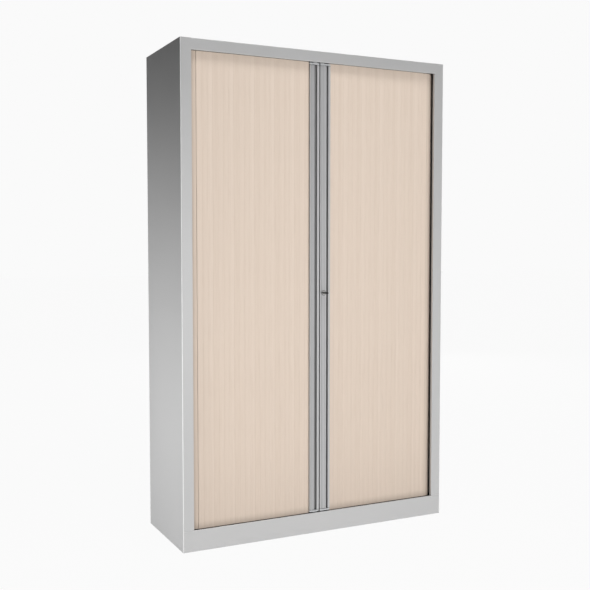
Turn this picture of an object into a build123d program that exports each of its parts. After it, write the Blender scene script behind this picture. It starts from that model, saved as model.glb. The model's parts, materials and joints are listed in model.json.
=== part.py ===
"""Tall steel cupboard closed by two tambour shutters that slide sideways round its corners.

Units are millimetres. X runs to the right, Y to the back and Z up. The origin is the bottom
centre of the whole cupboard with its key in the lock.
"""

import os
from math import asin, cos, degrees, pi, sin

from build123d import *

# ---- carcass ---------------------------------------------------------------------------
cabinet_width = 1200.0
cabinet_depth = 430.0
cabinet_height = 1980.0
sheet = 1.2
bend_radius = 2.0
stile_width = 45.0
stile_lip = 12.0
top_rail_height = 44.0
rail_lip = 4.0
plinth_height = 86.0
plinth_foot_flange = 15.0
rear_flange = 20.0
floor_gap = 2.0
pan_flange = 20.0

# ---- curtain tracks --------------------------------------------------------------------
slat_setback = 20.0
slat_thickness = 8.0
track_bend_radius = 46.0
track_to_side = 26.4
track_to_back = 24.0
track_slot = 11.6
track_wall = 1.5
track_depth = 16.0
top_track_depth = 18.8
track_centre_gap = 1.0
parking_play = 32.0
open_lead_gap = 5.0
track_sink = 2.0

# ---- slats -----------------------------------------------------------------------------
slats_per_module = 2
modules_per_shutter = 11
corner_slats = 3
pivot_depth = 4.6
bead_radius = 2.0
socket_radius = 2.3
neck_half = 0.6
mouth_front = 1.2
mouth_back = 1.75
jaw_length = 2.4
slat_gap = 0.3
groove_chamfer = 0.5
back_relief = 2.0
chamber_wall = 1.3
slat_top_clearance = 1.8
round_steps = 6

# ---- leading profiles ------------------------------------------------------------------
lead_setback = 10.0
meeting_gap = 4.5
left_face_width = 19.0
left_groove_width = 13.7
left_lip_width = 10.05
right_face_width = 27.75
right_groove_width = 9.4
right_lip_width = 9.4
lead_wall = 1.5
lead_edge_radius = 1.5
groove_floor_depth = 13.5
groove_floor_radius = 2.5
flute_width = 0.9
flute_depth = 0.4
flute_count = 3
lead_end_gap = 2.0
shoe_cap = 6.0
shoe_fit = 0.25
spigot_height = 12.0
spigot_setback = 5.0
clip_window_edge = 4.5
clip_window_height = 3.0
blade_length = 16.0
blade_inset = 6.0
blade_clearance = 0.3

# ---- lock ------------------------------------------------------------------------------
lock_x = 19.0
lock_z = 1000.0
housing_flange_radius = 11.0
housing_flange = 2.0
housing_radius = 9.0
housing_sides = 12
housing_length = 12.0
cylinder_radius = 7.0
running_gap = 0.05
cylinder_length = 12.2
tail_side = 6.0
tail_length = 4.0
keyway_width = 8.0
keyway_height = 2.2
keyway_depth = 8.0
key_bow_width = 22.0
key_bow_length = 22.0
key_neck_width = 9.0
key_neck_length = 4.0
key_bow_thickness = 4.5
key_ring_hole = 2.5
key_bow_corner = 7.0
hook_hub_radius = 6.5
hook_reach = 29.5
hook_thickness = 2.5
hook_half_width = 3.2
hook_barb = 4.0
hook_barb_width = 4.5
hook_tip_bevel = 2.0
hook_slot_height = 34.0
hook_slot_over = 5.0
hook_slot_depth = 6.0
strike_length = 70.0
strike_thickness = 1.0
strike_depth = 12.0

# ---- storage space ---------------------------------------------------------------------
shelf_count = 4
shelf_thickness = 25.0
shelf_return = 12.0
deck_gap = 0.3
shelf_side_gap = 1.4
shelf_front_gap = 4.0
liner_gap = 0.7
liner_chamfer = 30.0
back_liner_gap = 2.0
clip_ledge = 18.0
clip_width = 2.6
clip_height = 8.0
clip_hook = 3.0
clip_tongue = 1.5
clip_heel = 2.0
clip_column = 110.0
slot_clearance = 0.4
slot_rows_per_bay = 2

# ---- levelling feet --------------------------------------------------------------------
foot_inset_x = 60.0
foot_inset_y = 50.0
foot_pad_radius = 20.0
foot_pad_height = 8.0
foot_pad_bevel = 2.0
foot_sides = 12
foot_stud_radius = 5.0
foot_stud_top = 76.0
foot_nut_flats = 17.0
foot_nut_height = 8.0

# ---- places worked out from the sizes above --------------------------------------------
key_length = key_neck_length + key_bow_length
key_reach = key_length + housing_flange - lead_setback
front_y = -(cabinet_depth - key_reach) / 2
back_y = front_y + cabinet_depth
side_x = cabinet_width / 2
inner_x = side_x - sheet
inner_front_y = front_y + sheet
inner_bend = bend_radius - sheet
back_panel_y = back_y - 2 * sheet
opening_x = side_x - stile_width
opening_top = cabinet_height - top_rail_height

slat_front_y = front_y + slat_setback
track_y = slat_front_y + slat_thickness / 2
track_back_y = back_y - track_to_back
track_x = side_x - track_to_side
corner_x = track_x - track_bend_radius
corner_y = track_y + track_bend_radius
track_outer = track_slot / 2 + track_wall

pan_top = plinth_height - track_depth - track_sink
ceiling_z = opening_top + track_sink + top_track_depth
track_floor = pan_top + track_wall
track_roof = ceiling_z - track_wall
deck_top = pan_top + track_depth
slat_length = track_roof - slat_top_clearance - track_floor

liner_x = track_x - track_outer - liner_gap - sheet
store_front_y = track_y + track_outer + liner_gap + sheet
store_back_y = track_back_y - track_outer - back_liner_gap - sheet

left_lead_edge = meeting_gap / 2 + left_lip_width + left_groove_width + left_face_width
right_lead_edge = meeting_gap / 2 + right_face_width + right_groove_width + right_lip_width
lead_front_y = front_y + lead_setback
lead_back_y = slat_front_y + slat_thickness
lead_bottom = plinth_height + lead_end_gap + shoe_cap
lead_top = opening_top - lead_end_gap - shoe_cap
pivot_y = slat_front_y + pivot_depth

travel = opening_x - open_lead_gap - min(left_lead_edge, right_lead_edge)
side_run = track_back_y - track_bend_radius - corner_y
parked_length = travel - side_run - track_bend_radius * pi / 2 + parking_play

clear_height = ceiling_z - deck_top
bay_pitch = clear_height / (shelf_count + 1)
sides = {"left": -1, "right": 1}


def bent_sheet(points, side=Side.LEFT):
    """Section of a bent sheet: its outer face runs through the points, its metal lies to one side."""
    with BuildSketch() as section:
        with BuildLine():
            outer_face = FilletPolyline(*points, radius=bend_radius)
            offset(outer_face, amount=sheet, side=side)
        make_face()
    return section.sketch


def folded_sheet(points, side=Side.LEFT):
    """Section of an inner sheet, whose folds are drawn sharp."""
    with BuildSketch() as section:
        with BuildLine():
            outer_face = Polyline(*points)
            offset(outer_face, amount=sheet, side=side, kind=Kind.INTERSECTION)
        make_face()
    return section.sketch


def cut_box_section(x_range, y_range):
    """Remove a rectangular chamber from the current sketch."""
    with Locations((sum(x_range) / 2, sum(y_range) / 2)):
        Rectangle(x_range[1] - x_range[0], y_range[1] - y_range[0], mode=Mode.SUBTRACT)


def along_x(x):
    """Plane for a section that is drawn as (y, z) and extruded towards +X."""
    return Plane(origin=(x, 0, 0), x_dir=(0, 1, 0), z_dir=(1, 0, 0))


def finish(piece, name):
    """Label a finished piece and write its STEP file."""
    piece.label = name
    export_step(piece, f"parts/{name}.step")


# ---- carcass pieces --------------------------------------------------------------------
def side_panel(side):
    """Side sheet with a rear flange and a front stile, whose edge is folded in beside the opening."""
    metal = Side.LEFT if side < 0 else Side.RIGHT
    rear_edge = (side * (side_x - rear_flange), back_y)
    rear_corner = (side * side_x, back_y)
    front_corner = (side * side_x, front_y)
    stile_edge = (side * opening_x, front_y)
    stile_fold = (side * opening_x, front_y + stile_lip)
    stages = [
        (floor_gap, plinth_height, [(side * side_x, inner_front_y)]),
        (plinth_height, opening_top, [front_corner, stile_edge, stile_fold]),
        (opening_top, cabinet_height, [front_corner, stile_edge]),
    ]
    with BuildPart() as panel:
        for bottom, top, front in stages:
            with BuildSketch(Plane.XY.offset(bottom)):
                add(bent_sheet([rear_edge, rear_corner, *front], metal))
            extrude(amount=top - bottom)
    return panel.part


def top_panel():
    """Top sheet with the front rail and the rear flange folded down between the side panels."""
    section = bent_sheet(
        [
            (front_y + rail_lip, opening_top),
            (front_y, opening_top),
            (front_y, cabinet_height),
            (back_y, cabinet_height),
            (back_y, cabinet_height - rear_flange),
        ],
        Side.RIGHT,
    )
    with BuildPart() as panel:
        with BuildSketch(along_x(-opening_x)):
            add(section)
        extrude(amount=2 * opening_x)
        with BuildSketch(Plane.XY.offset(cabinet_height - sheet)):
            with Locations((0, (front_y + back_y) / 2)):
                Rectangle(2 * inner_x, cabinet_depth - 2 * bend_radius)
        extrude(amount=sheet)
    return panel.part


def plinth():
    """Full-width plinth: a front plate with a narrow top lip and a foot flange between the sides."""
    section = bent_sheet(
        [
            (front_y + rail_lip, plinth_height),
            (front_y, plinth_height),
            (front_y, floor_gap),
            (front_y + plinth_foot_flange, floor_gap),
        ]
    )
    with BuildPart() as panel:
        with BuildSketch(along_x(-inner_x)):
            add(section)
        extrude(amount=2 * inner_x)
        with BuildSketch(Plane.XZ.offset(-front_y)):
            with Locations((0, (plinth_height + floor_gap) / 2)):
                Rectangle(2 * side_x, plinth_height - floor_gap)
                Rectangle(2 * inner_x, plinth_height - floor_gap, mode=Mode.SUBTRACT)
        extrude(amount=-sheet)
    return panel.part


def back_panel():
    """Flat back sheet inside the rear flanges."""
    with BuildPart() as panel:
        with BuildSketch(Plane.XZ.offset(-back_panel_y)):
            with Locations((0, (cabinet_height - bend_radius + floor_gap) / 2)):
                Rectangle(2 * (inner_x - inner_bend), cabinet_height - bend_radius - floor_gap)
        extrude(amount=-sheet)
    return panel.part


def foot_places():
    """Centres of the four levelling feet."""
    x = side_x - foot_inset_x
    return [(i * x, y) for i in (-1, 1) for y in (front_y + foot_inset_y, back_y - foot_inset_y)]


def pan(level, flange_end, half_width):
    """Horizontal pan that carries the tracks, flanged away from the storage space."""
    metal = Side.RIGHT if flange_end < level else Side.LEFT
    section = folded_sheet(
        [
            (inner_front_y, flange_end),
            (inner_front_y, level),
            (back_panel_y, level),
            (back_panel_y, flange_end),
        ],
        metal,
    )
    with BuildPart() as panel:
        with BuildSketch(along_x(-half_width)):
            add(section)
        extrude(amount=2 * half_width)
        if flange_end < level:
            with BuildSketch(Plane.XY.offset(level)):
                with Locations(*foot_places()):
                    RegularPolygon(foot_stud_radius + running_gap, foot_sides)
            extrude(amount=-sheet, mode=Mode.SUBTRACT)
    return panel.part


# ---- tracks ----------------------------------------------------------------------------
def track_band(side, half_width):
    """Plan of a track: a band along the front, round the corner, down the side and behind the store."""
    start_x = track_centre_gap / 2
    end_x = corner_x - parked_length

    def edge(shift):
        return [
            (side * start_x, track_y - shift),
            (side * (track_x + shift), track_y - shift),
            (side * (track_x + shift), track_back_y + shift),
            (side * end_x, track_back_y + shift),
        ]

    with BuildSketch() as band:
        with BuildLine():
            outer = FilletPolyline(*edge(half_width), radius=track_bend_radius + half_width)
            inner = FilletPolyline(*edge(-half_width), radius=track_bend_radius - half_width)
            Line(outer @ 0, inner @ 0)
            Line(outer @ 1, inner @ 1)
        make_face()
    return band.sketch


def track(side, base_z, depth):
    """Channel track; a positive depth opens upwards and a negative one downwards."""
    direction = 1 if depth > 0 else -1
    with BuildPart() as channel:
        with BuildSketch(Plane.XY.offset(base_z)):
            add(track_band(side, track_outer))
        extrude(amount=depth)
        with BuildSketch(Plane.XY.offset(base_z + direction * track_wall)):
            add(track_band(side, track_slot / 2))
        extrude(amount=depth, mode=Mode.SUBTRACT)
        with BuildSketch(Plane.XY.offset(base_z)):
            with Locations((side * (corner_x - parked_length + track_wall / 2), track_back_y)):
                Rectangle(track_wall, 2 * track_outer)
        extrude(amount=depth)
    return channel.part


# ---- storage space ---------------------------------------------------------------------
def store_plan(gap, front_gap):
    """Plan of a floor or shelf: a rectangle whose corners are cut off beside the track bends."""
    half_x = liner_x - gap
    front = store_front_y + front_gap
    back = store_back_y - gap
    cut = liner_chamfer
    return [
        (-half_x, front + cut),
        (-half_x + cut, front),
        (half_x - cut, front),
        (half_x, front + cut),
        (half_x, back - cut),
        (half_x - cut, back),
        (-half_x + cut, back),
        (-half_x, back - cut),
    ]


def tray(top, plan, depth, lip):
    """Flat sheet with its front and back edges folded down and, with a lip, in again."""
    flange_x = max(x for x, y in plan) - liner_chamfer
    front = min(y for x, y in plan)
    back = max(y for x, y in plan)
    section = [
        (front, top - depth),
        (front, top),
        (back, top),
        (back, top - depth),
    ]
    if lip > 0:
        section = [(front + lip, top - depth), *section, (back - lip, top - depth)]
    with BuildPart() as panel:
        with BuildSketch(along_x(-flange_x)):
            add(folded_sheet(section, Side.RIGHT))
        extrude(amount=2 * flange_x)
        with BuildSketch(Plane.XY.offset(top - sheet)):
            with BuildLine():
                Polyline(*plan, close=True)
            make_face()
        extrude(amount=sheet)
    return panel.part


def shelf_top(number):
    """Height of the upper face of a shelf, counted from 1 at the bottom."""
    return deck_top + number * bay_pitch


def clip_rows():
    """Heights at which the shelf clips' upper faces stand."""
    return [shelf_top(number) - sheet for number in range(1, shelf_count + 1)]


def slot_rows():
    """Heights of the clips' upper faces in every row of slots, used or spare."""
    step = bay_pitch / slot_rows_per_bay
    rows = (shelf_count + 1) * slot_rows_per_bay
    return [deck_top + row * step - sheet for row in range(1, rows)]


def clip_columns():
    """Places of the two slot columns along the depth."""
    middle = (store_front_y + store_back_y) / 2
    return [middle - clip_column, middle + clip_column]


def side_liner(side):
    """Slotted wall between the store and the curtain's side run, bent in at both ends."""
    metal = Side.RIGHT if side > 0 else Side.LEFT
    cut = liner_chamfer
    path = [
        (side * (liner_x - cut), store_front_y),
        (side * liner_x, store_front_y + cut),
        (side * liner_x, store_back_y - cut),
        (side * (liner_x - cut), store_back_y),
    ]
    slot_height = clip_height + slot_clearance
    with BuildPart() as wall:
        with BuildSketch(Plane.XY.offset(pan_top)):
            add(folded_sheet(path, metal))
        extrude(amount=ceiling_z - pan_top)
        with BuildSketch(Plane.YZ.offset(side * liner_x - sheet)):
            with Locations(*[(y, z - clip_height / 2) for y in clip_columns() for z in slot_rows()]):
                Rectangle(clip_width + slot_clearance, slot_height)
        extrude(amount=2 * sheet, mode=Mode.SUBTRACT)
    return wall.part


def back_liner():
    """Flat wall between the store and the curtain's run behind it."""
    with BuildPart() as wall:
        with BuildSketch(Plane.XZ.offset(-store_back_y)):
            with Locations((0, (pan_top + ceiling_z) / 2)):
                Rectangle(2 * (liner_x - liner_chamfer), ceiling_z - pan_top)
        extrude(amount=-sheet)
    return wall.part


def shelf_clips():
    """Plate clips hooked into the liners' slots, one under each shelf corner."""
    wall = liner_x
    behind = wall + sheet + slot_clearance / 2
    with BuildPart() as clips:
        for side in sides.values():
            for y in clip_columns():
                with BuildSketch(Plane.XZ.offset(-(y - clip_width / 2))):
                    for z in clip_rows():
                        with BuildLine():
                            Polyline(
                                (side * (wall - clip_ledge), z),
                                (side * (behind + clip_tongue), z),
                                (side * (behind + clip_tongue), z - clip_height - clip_hook),
                                (side * behind, z - clip_height - clip_hook),
                                (side * behind, z - clip_height),
                                (side * wall, z - clip_height),
                                (side * wall, z - 2 * clip_height),
                                (side * (wall - clip_heel), z - 2 * clip_height),
                                (side * (wall - clip_ledge), z - clip_height / 2),
                                close=True,
                            )
                        make_face()
                extrude(amount=-clip_width)
    return clips.part


# ---- levelling feet --------------------------------------------------------------------
def feet():
    """Four screw feet: a faceted pad to turn by hand, with a stud that rises through the pan."""
    with BuildPart() as group:
        with BuildSketch():
            with Locations(*foot_places()):
                RegularPolygon(foot_pad_radius, foot_sides)
        extrude(amount=foot_pad_height)
        chamfer(group.edges().group_by(Axis.Z)[-1], length=foot_pad_bevel)
        with BuildSketch(Plane.XY.offset(foot_pad_height)):
            with Locations(*foot_places()):
                RegularPolygon(foot_stud_radius, foot_sides)
        extrude(amount=foot_stud_top - foot_pad_height)
    return group.part


def foot_nuts():
    """Hexagon nuts under the pan, one on each foot's stud."""
    with BuildPart() as nuts:
        with BuildSketch(Plane.XY.offset(pan_top - sheet)):
            with Locations(*foot_places()):
                RegularPolygon(radius=foot_nut_flats / 2, side_count=6, major_radius=False)
                RegularPolygon(foot_stud_radius + running_gap, foot_sides, mode=Mode.SUBTRACT)
        extrude(amount=-foot_nut_height)
    return nuts.part


# ---- slats -----------------------------------------------------------------------------
def round_points(x, radius, first, last):
    """Corners of a many-sided arc round (x, pivot_depth), evenly spaced from one angle to another."""
    step = (last - first) / round_steps
    angles = [first + step * corner for corner in range(round_steps + 1)]
    return [(x + radius * cos(angle), pivot_depth + radius * sin(angle)) for angle in angles]


def slat_section(pitch):
    """Section of a hollow slat: a bead on a neck at x = 0, a socket at x = pitch, its face on y = 0."""
    start = jaw_length + slat_gap / 2
    end = pitch + jaw_length - slat_gap / 2
    neck_angle = asin(neck_half / bead_radius)
    front_angle = asin(mouth_front / socket_radius)
    back_angle = asin(mouth_back / socket_radius)
    back_edge = pitch + socket_radius * cos(back_angle) / 2
    chamber_start = start + chamber_wall
    chamber_end = pitch - socket_radius - chamber_wall
    outline = [
        *round_points(0, bead_radius, neck_angle, 2 * pi - neck_angle),
        (start, pivot_depth - neck_half),
        (start, groove_chamfer),
        (start + groove_chamfer, 0),
        (end - groove_chamfer, 0),
        (end, groove_chamfer),
        (end, pivot_depth - mouth_front),
        *round_points(pitch, socket_radius, -front_angle, back_angle - 2 * pi),
        (back_edge, slat_thickness),
        (start + back_relief, slat_thickness),
        (start, pivot_depth + neck_half),
    ]
    with BuildSketch() as section:
        with BuildLine():
            Polyline(*outline, close=True)
        make_face()
        cut_box_section((chamber_start, chamber_end), (chamber_wall, slat_thickness - chamber_wall))
    return section.sketch


def slat_plane(side, pivot, turn):
    """Plane at the slats' lower ends with its origin on the slat's face in front of the pivot."""
    along = (side * cos(turn), sin(turn), 0)
    inward = (-side * sin(turn), cos(turn), 0)
    origin = (
        side * pivot[0] - inward[0] * pivot_depth,
        pivot[1] - inward[1] * pivot_depth,
        track_floor,
    )
    return Plane(origin=origin, x_dir=along, z_dir=(0, 0, side))


def slats(side, places, pitch):
    """Slats that stand on the track floor, one at each (pivot, turn) place."""
    section = slat_section(pitch)
    with BuildPart() as group:
        for pivot, turn in places:
            with BuildSketch(slat_plane(side, pivot, turn)):
                add(section)
            extrude(amount=side * slat_length)
    return group.part


def slat_pitch(lead_edge):
    """Pitch that fills the front run from a lead's edge to the corner with whole modules."""
    return (corner_x - lead_edge + jaw_length) / (modules_per_shutter * slats_per_module)


def module_places(lead_edge, number):
    """Pivots and turns of the slats in one module of the front run, counted from the lead."""
    pitch = slat_pitch(lead_edge)
    first = (number - 1) * slats_per_module
    start = lead_edge - jaw_length
    return [((start + (first + i) * pitch, pivot_y), 0.0) for i in range(slats_per_module)]


def corner_place(lead_edge, number):
    """Pivot and turn of one of the slats that follow each other round the corner."""
    radius = corner_y - pivot_y
    step = 2 * asin(slat_pitch(lead_edge) / 2 / radius)
    angle = (number - 1) * step
    pivot = (corner_x + radius * sin(angle), corner_y - radius * cos(angle))
    return pivot, angle + step / 2


# ---- leading profiles ------------------------------------------------------------------
def lead_stations(side):
    """X of a lead's outline from left to right: its outer side, the groove's two walls, its other side."""
    inner = meeting_gap / 2
    if side < 0:
        lip = -inner - left_lip_width
        return -left_lead_edge, lip - left_groove_width, lip, -inner
    face = inner + right_face_width
    return inner, face, face + right_groove_width, right_lead_edge


def cut_slat_socket(side):
    """Remove the socket and mouth that take the first slat's bead."""
    edge = side * (left_lead_edge if side < 0 else right_lead_edge)
    pivot_x = edge - side * jaw_length
    with Locations((pivot_x, pivot_y)):
        RegularPolygon(socket_radius, 2 * round_steps, mode=Mode.SUBTRACT)
    mouth = sorted((pivot_x, edge + side))
    cut_box_section(mouth, (pivot_y - mouth_front, pivot_y + mouth_back))


def lead_chambers(side):
    """The two hollow chambers of a lead as ((x range), (y range)) pairs: under the face and in the lip."""
    left, groove_left, groove_right, right = lead_stations(side)
    front = lead_front_y + lead_wall
    back = lead_back_y - lead_wall
    if side < 0:
        left += jaw_length + socket_radius
        return (
            ((left + lead_wall, groove_left - lead_wall), (front, back)),
            ((groove_right + lead_wall, right - lead_wall), (front, back)),
        )
    lip_back = pivot_y - socket_radius - lead_wall
    return (
        ((left + lead_wall, groove_left - lead_wall), (front, back)),
        ((groove_right + lead_wall, right - lead_wall), (front, lip_back)),
    )


def lead_section(side):
    """Section of a lead: a flat fluted face, a finger groove and a lip, with a socket for the slats."""
    left, groove_left, groove_right, right = lead_stations(side)
    floor_y = lead_front_y + groove_floor_depth
    flute_pitch = (groove_left - left) / (flute_count + 1)
    outline = [
        (left, lead_front_y),
        (groove_left, lead_front_y),
        (groove_left, floor_y),
        (groove_right, floor_y),
        (groove_right, lead_front_y),
        (right, lead_front_y),
        (right, lead_back_y),
        (left, lead_back_y),
    ]
    with BuildSketch() as section:
        with BuildLine():
            Polyline(*outline, close=True)
        make_face()
        front_corners, floor_corners = section.vertices().group_by(Axis.Y)[:2]
        fillet(floor_corners, radius=groove_floor_radius)
        fillet(front_corners, radius=lead_edge_radius)
        for x_range, y_range in lead_chambers(side):
            cut_box_section(x_range, y_range)
        with Locations(*[(left + flute_pitch * i, lead_front_y) for i in range(1, flute_count + 1)]):
            Rectangle(flute_width, 2 * flute_depth, mode=Mode.SUBTRACT)
        cut_slat_socket(side)
    return section.sketch


def extruded_lead(side):
    """Lead cut to length, with a clip window through its face at each end."""
    left, groove_left = lead_stations(side)[:2]
    with BuildPart() as lead:
        with BuildSketch(Plane.XY.offset(lead_bottom)):
            add(lead_section(side))
        extrude(amount=lead_top - lead_bottom)
        with BuildSketch(Plane.XZ.offset(-lead_front_y)):
            with Locations(((left + groove_left) / 2, lead_bottom), ((left + groove_left) / 2, lead_top)):
                Rectangle(groove_left - left - 2 * clip_window_edge, 2 * clip_window_height)
        extrude(amount=-lead_wall, mode=Mode.SUBTRACT)
    return lead.part


def hook_window(x_range, clearance=0.0):
    """Cut the upright window through which the lock's hook swings."""
    centre = (
        sum(x_range) / 2,
        hook_y() + hook_thickness / 2,
        lock_z + hook_slot_over - hook_slot_height / 2,
    )
    with Locations(centre):
        Box(
            x_range[1] - x_range[0],
            hook_slot_depth + 2 * clearance,
            hook_slot_height + 2 * clearance,
            mode=Mode.SUBTRACT,
        )


def hook_y():
    """Front face of the hook, just behind the lock cylinder."""
    return lead_front_y - housing_flange + cylinder_length


def left_lead():
    """Left leading profile; its lip has the window for the hook."""
    inner = -meeting_gap / 2
    with BuildPart() as lead:
        add(extruded_lead(-1))
        hook_window((inner - lead_wall, inner), clearance=slot_clearance)
    return lead.part


def right_lead():
    """Right leading profile; it holds the lock."""
    inner = meeting_gap / 2
    with BuildPart() as lead:
        add(extruded_lead(1))
        hook_window((inner, inner + lead_wall))
        with BuildSketch(Plane.XZ.offset(-lead_front_y)):
            with Locations((lock_x, lock_z)):
                RegularPolygon(housing_radius + running_gap, housing_sides)
        extrude(amount=-lead_wall, mode=Mode.SUBTRACT)
    return lead.part


def lead_shoes(side):
    """End shoes of a lead: a cap, a spigot in the lead's chamber and a blade that runs in the track."""
    left, _, _, right = lead_stations(side)
    spigot_x, spigot_y = lead_chambers(side)[0]
    spigot_front = spigot_y[0] + spigot_setback
    blade_x = side * (meeting_gap / 2 + blade_inset + blade_length / 2)
    blade_width = track_slot - 2 * blade_clearance
    with BuildPart() as shoes:
        for end, direction, track_end in (
            (lead_bottom, -1, track_floor),
            (lead_top, 1, track_roof - blade_clearance),
        ):
            with BuildSketch(Plane.XY.offset(end)) as cap:
                with Locations(((left + right) / 2, (lead_front_y + lead_back_y) / 2)):
                    Rectangle(right - left, lead_back_y - lead_front_y)
                chamfer(cap.vertices().group_by(Axis.Y)[0], length=lead_edge_radius)
                cut_slat_socket(side)
            extrude(amount=direction * shoe_cap)
            with BuildSketch(Plane.XY.offset(end)):
                with Locations((sum(spigot_x) / 2, (spigot_front + spigot_y[1]) / 2)):
                    Rectangle(
                        spigot_x[1] - spigot_x[0] - 2 * shoe_fit,
                        spigot_y[1] - spigot_front - 2 * shoe_fit,
                    )
            extrude(amount=-direction * spigot_height)
            with BuildSketch(Plane.XY.offset(end + direction * shoe_cap)):
                with Locations((blade_x, track_y)):
                    Rectangle(blade_length, blade_width)
            extrude(amount=track_end - end - direction * shoe_cap)
    return shoes.part


# ---- lock ------------------------------------------------------------------------------
def strike_plate():
    """Round-ended plate on the left lead's meeting face, with the hook's window."""
    inner = -meeting_gap / 2
    with BuildPart() as plate:
        with BuildSketch(Plane.YZ.offset(inner)):
            with Locations((hook_y() + hook_thickness / 2, lock_z + hook_slot_over - hook_slot_height / 2)):
                SlotOverall(strike_length, strike_depth, rotation=90)
        extrude(amount=strike_thickness)
        hook_window((inner, inner + strike_thickness))
    return plate.part


def lock_housing():
    """Flanged sleeve in the right lead's face."""
    with BuildPart() as housing:
        with BuildSketch(Plane.XZ.offset(-lead_front_y)):
            with Locations((lock_x, lock_z)):
                Circle(housing_flange_radius)
        extrude(amount=housing_flange)
        with BuildSketch(Plane.XZ.offset(-lead_front_y)):
            with Locations((lock_x, lock_z)):
                RegularPolygon(housing_radius, housing_sides)
        extrude(amount=-(housing_length - housing_flange))
        with BuildSketch(Plane.XZ.offset(-lead_front_y + housing_flange)):
            with Locations((lock_x, lock_z)):
                Circle(cylinder_radius + running_gap)
        extrude(amount=-housing_length, mode=Mode.SUBTRACT)
    return housing.part


def lock_cylinder():
    """Lock cylinder with a level keyway in front and a square tail behind."""
    face_y = lead_front_y - housing_flange
    with BuildPart() as cylinder:
        with BuildSketch(Plane.XZ.offset(-face_y)):
            with Locations((lock_x, lock_z)):
                Circle(cylinder_radius)
        extrude(amount=-cylinder_length)
        with BuildSketch(Plane.XZ.offset(-face_y)):
            with Locations((lock_x, lock_z)):
                Rectangle(keyway_width + 2 * running_gap, keyway_height + 2 * running_gap)
        extrude(amount=-keyway_depth, mode=Mode.SUBTRACT)
        with BuildSketch(Plane.XZ.offset(-hook_y())):
            with Locations((lock_x, lock_z)):
                Rectangle(tail_side, tail_side)
        extrude(amount=-tail_length)
    return cylinder.part


def key():
    """Key with a flat blade in the keyway and a rounded bow that stands out level."""
    face_y = lead_front_y - housing_flange
    bow_middle = face_y - key_neck_length - key_bow_length / 2
    with BuildPart() as body:
        with BuildSketch(Plane.XY.offset(lock_z)) as bow:
            with Locations((lock_x, bow_middle)):
                RectangleRounded(key_bow_width, key_bow_length, key_bow_corner)
            with Locations((lock_x, face_y - key_neck_length)):
                Rectangle(key_neck_width, 2 * key_neck_length)
            with Locations((lock_x, bow_middle - key_bow_length / 4)):
                Circle(key_ring_hole, mode=Mode.SUBTRACT)
        extrude(amount=key_bow_thickness / 2, both=True)
        with BuildSketch(Plane.XY.offset(lock_z)):
            with Locations((lock_x, face_y + keyway_depth / 2)):
                Rectangle(keyway_width, keyway_depth)
        extrude(amount=keyway_height / 2, both=True)
    return body.part


def lock_hook():
    """Hook on the cylinder's tail; it hangs down unlocked and swings into the left lead."""
    tip_z = lock_z - hook_reach
    with BuildPart() as hook:
        with BuildSketch(Plane.XZ.offset(-hook_y())):
            with Locations((lock_x, lock_z)):
                Circle(hook_hub_radius)
            with BuildLine():
                Polyline(
                    (lock_x - hook_half_width, lock_z),
                    (lock_x + hook_half_width, lock_z),
                    (lock_x + hook_half_width, tip_z + hook_tip_bevel),
                    (lock_x + hook_half_width - hook_tip_bevel, tip_z),
                    (lock_x - hook_half_width - hook_barb, tip_z + hook_tip_bevel),
                    (lock_x - hook_half_width - hook_barb, tip_z + hook_barb_width),
                    (lock_x - hook_half_width, tip_z + hook_barb_width),
                    close=True,
                )
            make_face()
            with Locations((lock_x, lock_z)):
                Rectangle(tail_side + 2 * running_gap, tail_side + 2 * running_gap, mode=Mode.SUBTRACT)
        extrude(amount=-hook_thickness)
    return hook.part


# ---- the whole cupboard ----------------------------------------------------------------
os.makedirs("parts", exist_ok=True)

for side_name, side in sides.items():
    lead_edge = left_lead_edge if side < 0 else right_lead_edge
    pitch = slat_pitch(lead_edge)
    finish(side_panel(side), f"side_panel_{side_name}")
    finish(track(side, pan_top, track_depth), f"track_bottom_{side_name}")
    finish(track(side, ceiling_z, -top_track_depth), f"track_top_{side_name}")
    finish(side_liner(side), f"side_liner_{side_name}")
    finish(lead_shoes(side), f"lead_shoes_{side_name}")
    for number in range(1, modules_per_shutter + 1):
        module = slats(side, module_places(lead_edge, number), pitch)
        finish(module, f"slats_{side_name}_{number:02d}")
    for number in range(1, corner_slats + 1):
        corner = slats(side, [corner_place(lead_edge, number)], pitch)
        finish(corner, f"corner_slat_{side_name}_{number}")

finish(top_panel(), "top_panel")
finish(plinth(), "plinth")
finish(back_panel(), "back_panel")
finish(pan(pan_top, pan_top - pan_flange, inner_x), "base_pan")
finish(pan(ceiling_z, cabinet_height - bend_radius, inner_x - inner_bend), "ceiling_pan")
finish(tray(deck_top, store_plan(deck_gap, deck_gap), track_depth, 0.0), "floor_deck")
finish(back_liner(), "back_liner")
for number in range(1, shelf_count + 1):
    plan = store_plan(shelf_side_gap, shelf_front_gap)
    finish(tray(shelf_top(number), plan, shelf_thickness, shelf_return), f"shelf_{number}")
finish(shelf_clips(), "shelf_clips")
finish(feet(), "levelling_feet")
finish(foot_nuts(), "foot_nuts")

finish(left_lead(), "lead_left")
finish(right_lead(), "lead_right")
finish(strike_plate(), "strike_plate")
finish(lock_housing(), "lock_housing")
finish(lock_cylinder(), "lock_cylinder")
finish(key(), "key")
finish(lock_hook(), "lock_hook")

print("slat pitch", round(slat_pitch(left_lead_edge), 3), round(slat_pitch(right_lead_edge), 3))
print("corner turn", round(degrees(corner_place(left_lead_edge, 1)[1] * 2), 2), "degrees")
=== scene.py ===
"""Dresses the tall tambour cupboard: its wooden curtains, lock, key and feet, every finish, and the studio."""

import json
from math import asin, pi, radians, sqrt

import bmesh
import bpy
from bpy.props import FloatProperty, FloatVectorProperty, IntProperty, PointerProperty
from mathutils import Matrix, Vector


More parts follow.
